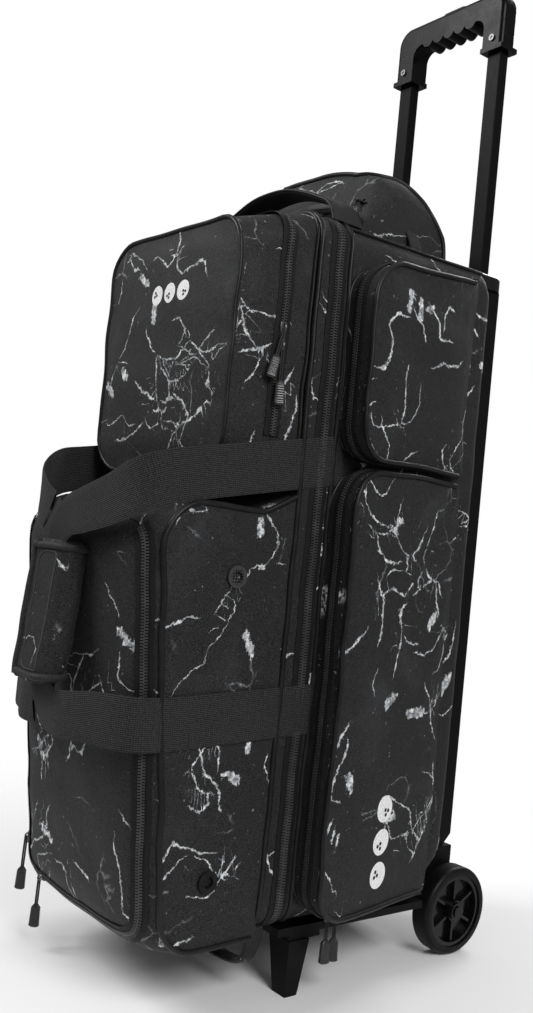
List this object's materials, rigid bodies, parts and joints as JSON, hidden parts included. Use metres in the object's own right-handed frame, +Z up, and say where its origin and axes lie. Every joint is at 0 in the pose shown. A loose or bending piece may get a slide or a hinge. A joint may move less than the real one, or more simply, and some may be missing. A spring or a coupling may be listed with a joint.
{
  "type": "rolling bowling bag",
  "caption": "Upright rolling bag for stacked bowling balls, with a pull-out handle, wheels, feet, a side-hinged lid, zipped pockets and carry webbing.",
  "frame": {"origin": "middle of the footprint on the floor", "axes": "+Z up, -Y the front of the bag, +X its right side seen from the front"},
  "size_m": [0.34, 0.555, 1.159],
  "materials": {
    "marble_cloth": "fine black polyester printed with pale marble veins",
    "webbing": "ribbed charcoal webbing",
    "handle_cloth": "smooth black cloth",
    "padding": "cloth-covered foam",
    "frame_plastic": "moulded, fine grain",
    "gloss_plastic": "glossy black",
    "grip_plastic": "satin moulded",
    "tube": "black coated",
    "steel": "plated",
    "tyre": "polished urethane",
    "vent_plastic": "satin",
    "zip_metal": "black enamel"
  },
  "bodies": {
    "bag": {"back_frame": "frame_plastic", "top_cap": "gloss_plastic", "base_tray": "frame_plastic", "axle": "steel", "outer_tube_left": "tube", "outer_tube_right": "tube", "foot_left": "frame_plastic", "foot_right": "frame_plastic", "ball_bay": "marble_cloth", "ball_cup_bottom": "padding", "ball_cup_middle": "padding", "ball_cup_top": "padding", "divider_lower": "padding", "divider_upper": "padding", "top_pocket": "marble_cloth", "top_handle": "handle_cloth", "side_pocket_lower_left": "marble_cloth", "side_pocket_lower_right": "marble_cloth", "side_pocket_upper_left": "marble_cloth", "side_pocket_upper_right": "marble_cloth"},
    "handle": {"grip": "grip_plastic", "inner_tube_left": "tube", "inner_tube_right": "tube", "grip_screw_left": "steel", "grip_screw_right": "steel"},
    "button": {"grip_button": "grip_plastic"},
    "lid": {"lid_band": "marble_cloth", "shoe_box": "marble_cloth", "upper_box": "marble_cloth", "bottom_handle": "marble_cloth", "vents_left": "vent_plastic", "vents_right": "vent_plastic", "sewn_webbing_left": "webbing", "sewn_webbing_right": "webbing"},
    "upper_door": {"upper_door": "marble_cloth"},
    "shoe_flap": {"shoe_flap": "marble_cloth"},
    "carry_right": {"carry_loop_right": "webbing", "handle_wrap": "marble_cloth"},
    "carry_left": {"carry_loop_left": "webbing"},
    "top_slider": {"top_slider": "zip_metal"},
    "shoe_slider_bottom": {"shoe_slider_bottom": "zip_metal"},
    "shoe_slider_side": {"shoe_slider_side": "zip_metal"},
    "wheel_left": {"tyre_left": "tyre", "wheel_left": "gloss_plastic", "hub_cap_left": "gloss_plastic"},
    "side_door_lower_left": {"side_door_lower_left": "marble_cloth"},
    "side_door_upper_left": {"side_door_upper_left": "marble_cloth"},
    "pocket_slider_front_left": {"pocket_slider_front_left": "zip_metal"},
    "pocket_slider_rear_left": {"pocket_slider_rear_left": "zip_metal"},
    "wheel_right": {"tyre_right": "tyre", "wheel_right": "gloss_plastic", "hub_cap_right": "gloss_plastic"},
    "side_door_lower_right": {"side_door_lower_right": "marble_cloth"},
    "side_door_upper_right": {"side_door_upper_right": "marble_cloth"},
    "pocket_slider_front_right": {"pocket_slider_front_right": "zip_metal"},
    "pocket_slider_rear_right": {"pocket_slider_rear_right": "zip_metal"},
    "upper_slider_high": {"upper_slider_high": "zip_metal"},
    "upper_pull_high": {"upper_pull_high": "zip_metal"},
    "upper_slider_low": {"upper_slider_low": "zip_metal"},
    "upper_pull_low": {"upper_pull_low": "zip_metal"}
  },
  "joints": [
    {"name": "handle_slide", "type": "slide", "parent": "bag", "child": "handle", "axis": [0, 0, 1], "range_m": [-0.262, 0]},
    {"name": "button_press", "type": "slide", "parent": "handle", "child": "button", "axis": [0, 0, 1], "range_m": [-0.004, 0], "stiffness_N_per_m": 600},
    {"name": "lid_hinge", "type": "hinge", "parent": "bag", "child": "lid", "pos_m": [-0.13, -0.04515, 0], "axis": [0, 0, 1], "range_deg": [-95, 0]},
    {"name": "upper_door_hinge", "type": "hinge", "parent": "lid", "child": "upper_door", "pos_m": [0, -0.1054, 0.508], "axis": [1, 0, 0], "range_deg": [0, 28]},
    {"name": "shoe_flap_hinge", "type": "hinge", "parent": "lid", "child": "shoe_flap", "pos_m": [0, -0.2355, 0.4815], "axis": [1, 0, 0], "range_deg": [-95, 0], "deforming": ["carry_loop_right", "carry_loop_left", "handle_wrap"]},
    {"name": "carry_right_swing", "type": "hinge", "parent": "lid", "child": "carry_right", "pos_m": [0.131, -0.176, 0.4], "axis": [0, 0, 1], "range_deg": [0, 95]},
    {"name": "carry_left_swing", "type": "hinge", "parent": "lid", "child": "carry_left", "pos_m": [-0.131, -0.176, 0.4], "axis": [0, 0, 1], "range_deg": [-95, 0]},
    {"name": "top_slider_run", "type": "slide", "parent": "bag", "child": "top_slider", "axis": [1, 0, 0], "range_m": [-0.18, 0]},
    {"name": "shoe_slider_bottom_run", "type": "slide", "parent": "lid", "child": "shoe_slider_bottom", "axis": [1, 0, 0], "range_m": [0, 0.165]},
    {"name": "shoe_slider_side_run", "type": "slide", "parent": "lid", "child": "shoe_slider_side", "axis": [0, -0.0993, 0.9951], "range_m": [0, 0.27]},
    {"name": "wheel_left_spin", "type": "hinge", "parent": "bag", "child": "wheel_left", "pos_m": [-0.1175, 0.2275, 0.05], "axis": [1, 0, 0], "continuous": true},
    {"name": "side_door_lower_left_hinge", "type": "hinge", "parent": "bag", "child": "side_door_lower_left", "pos_m": [-0.1334, 0.1602, 0.4], "axis": [0, 0, 1], "range_deg": [-100, 0]},
    {"name": "side_door_upper_left_hinge", "type": "hinge", "parent": "bag", "child": "side_door_upper_left", "pos_m": [-0.1334, 0.1602, 0.4], "axis": [0, 0, 1], "range_deg": [-100, 0]},
    {"name": "pocket_slider_front_left_run", "type": "hinge", "parent": "bag", "child": "pocket_slider_front_left", "pos_m": [-0.147, 0.007, 0.12], "axis": [1, 0, 0], "range_deg": [-40, 0]},
    {"name": "pocket_slider_rear_left_run", "type": "slide", "parent": "bag", "child": "pocket_slider_rear_left", "axis": [0.09, 0.9959, 0], "range_m": [0, 0.1]},
    {"name": "wheel_right_spin", "type": "hinge", "parent": "bag", "child": "wheel_right", "pos_m": [0.1175, 0.2275, 0.05], "axis": [1, 0, 0], "continuous": true},
    {"name": "side_door_lower_right_hinge", "type": "hinge", "parent": "bag", "child": "side_door_lower_right", "pos_m": [0.1334, 0.1602, 0.4], "axis": [0, 0, 1], "range_deg": [0, 100]},
    {"name": "side_door_upper_right_hinge", "type": "hinge", "parent": "bag", "child": "side_door_upper_right", "pos_m": [0.1334, 0.1602, 0.4], "axis": [0, 0, 1], "range_deg": [0, 100]},
    {"name": "pocket_slider_front_right_run", "type": "hinge", "parent": "bag", "child": "pocket_slider_front_right", "pos_m": [0.147, 0.007, 0.12], "axis": [1, 0, 0], "range_deg": [-40, 0]},
    {"name": "pocket_slider_rear_right_run", "type": "slide", "parent": "bag", "child": "pocket_slider_rear_right", "axis": [-0.09, 0.9959, 0], "range_m": [0, 0.1]},
    {"name": "upper_slider_high_run", "type": "slide", "parent": "lid", "child": "upper_slider_high", "axis": [0, 0, 1], "range_m": [0, 0.07]},
    {"name": "upper_pull_high_swing", "type": "hinge", "parent": "upper_slider_high", "child": "upper_pull_high", "pos_m": [0.1279, -0.105, 0.672], "axis": [0, 1, 0], "range_deg": [-100, 0]},
    {"name": "upper_slider_low_run", "type": "slide", "parent": "lid", "child": "upper_slider_low", "axis": [0, 0, 1], "range_m": [-0.03, 0]},
    {"name": "upper_pull_low_swing", "type": "hinge", "parent": "upper_slider_low", "child": "upper_pull_low", "pos_m": [0.1279, -0.105, 0.65], "axis": [0, 1, 0], "range_deg": [-100, 0]}
  ],
  "couplings": [
    {"joint": "carry_right_swing", "follows": "shoe_flap_hinge", "ratio": -1},
    {"joint": "carry_left_swing", "follows": "shoe_flap_hinge", "ratio": 1}
  ]
}
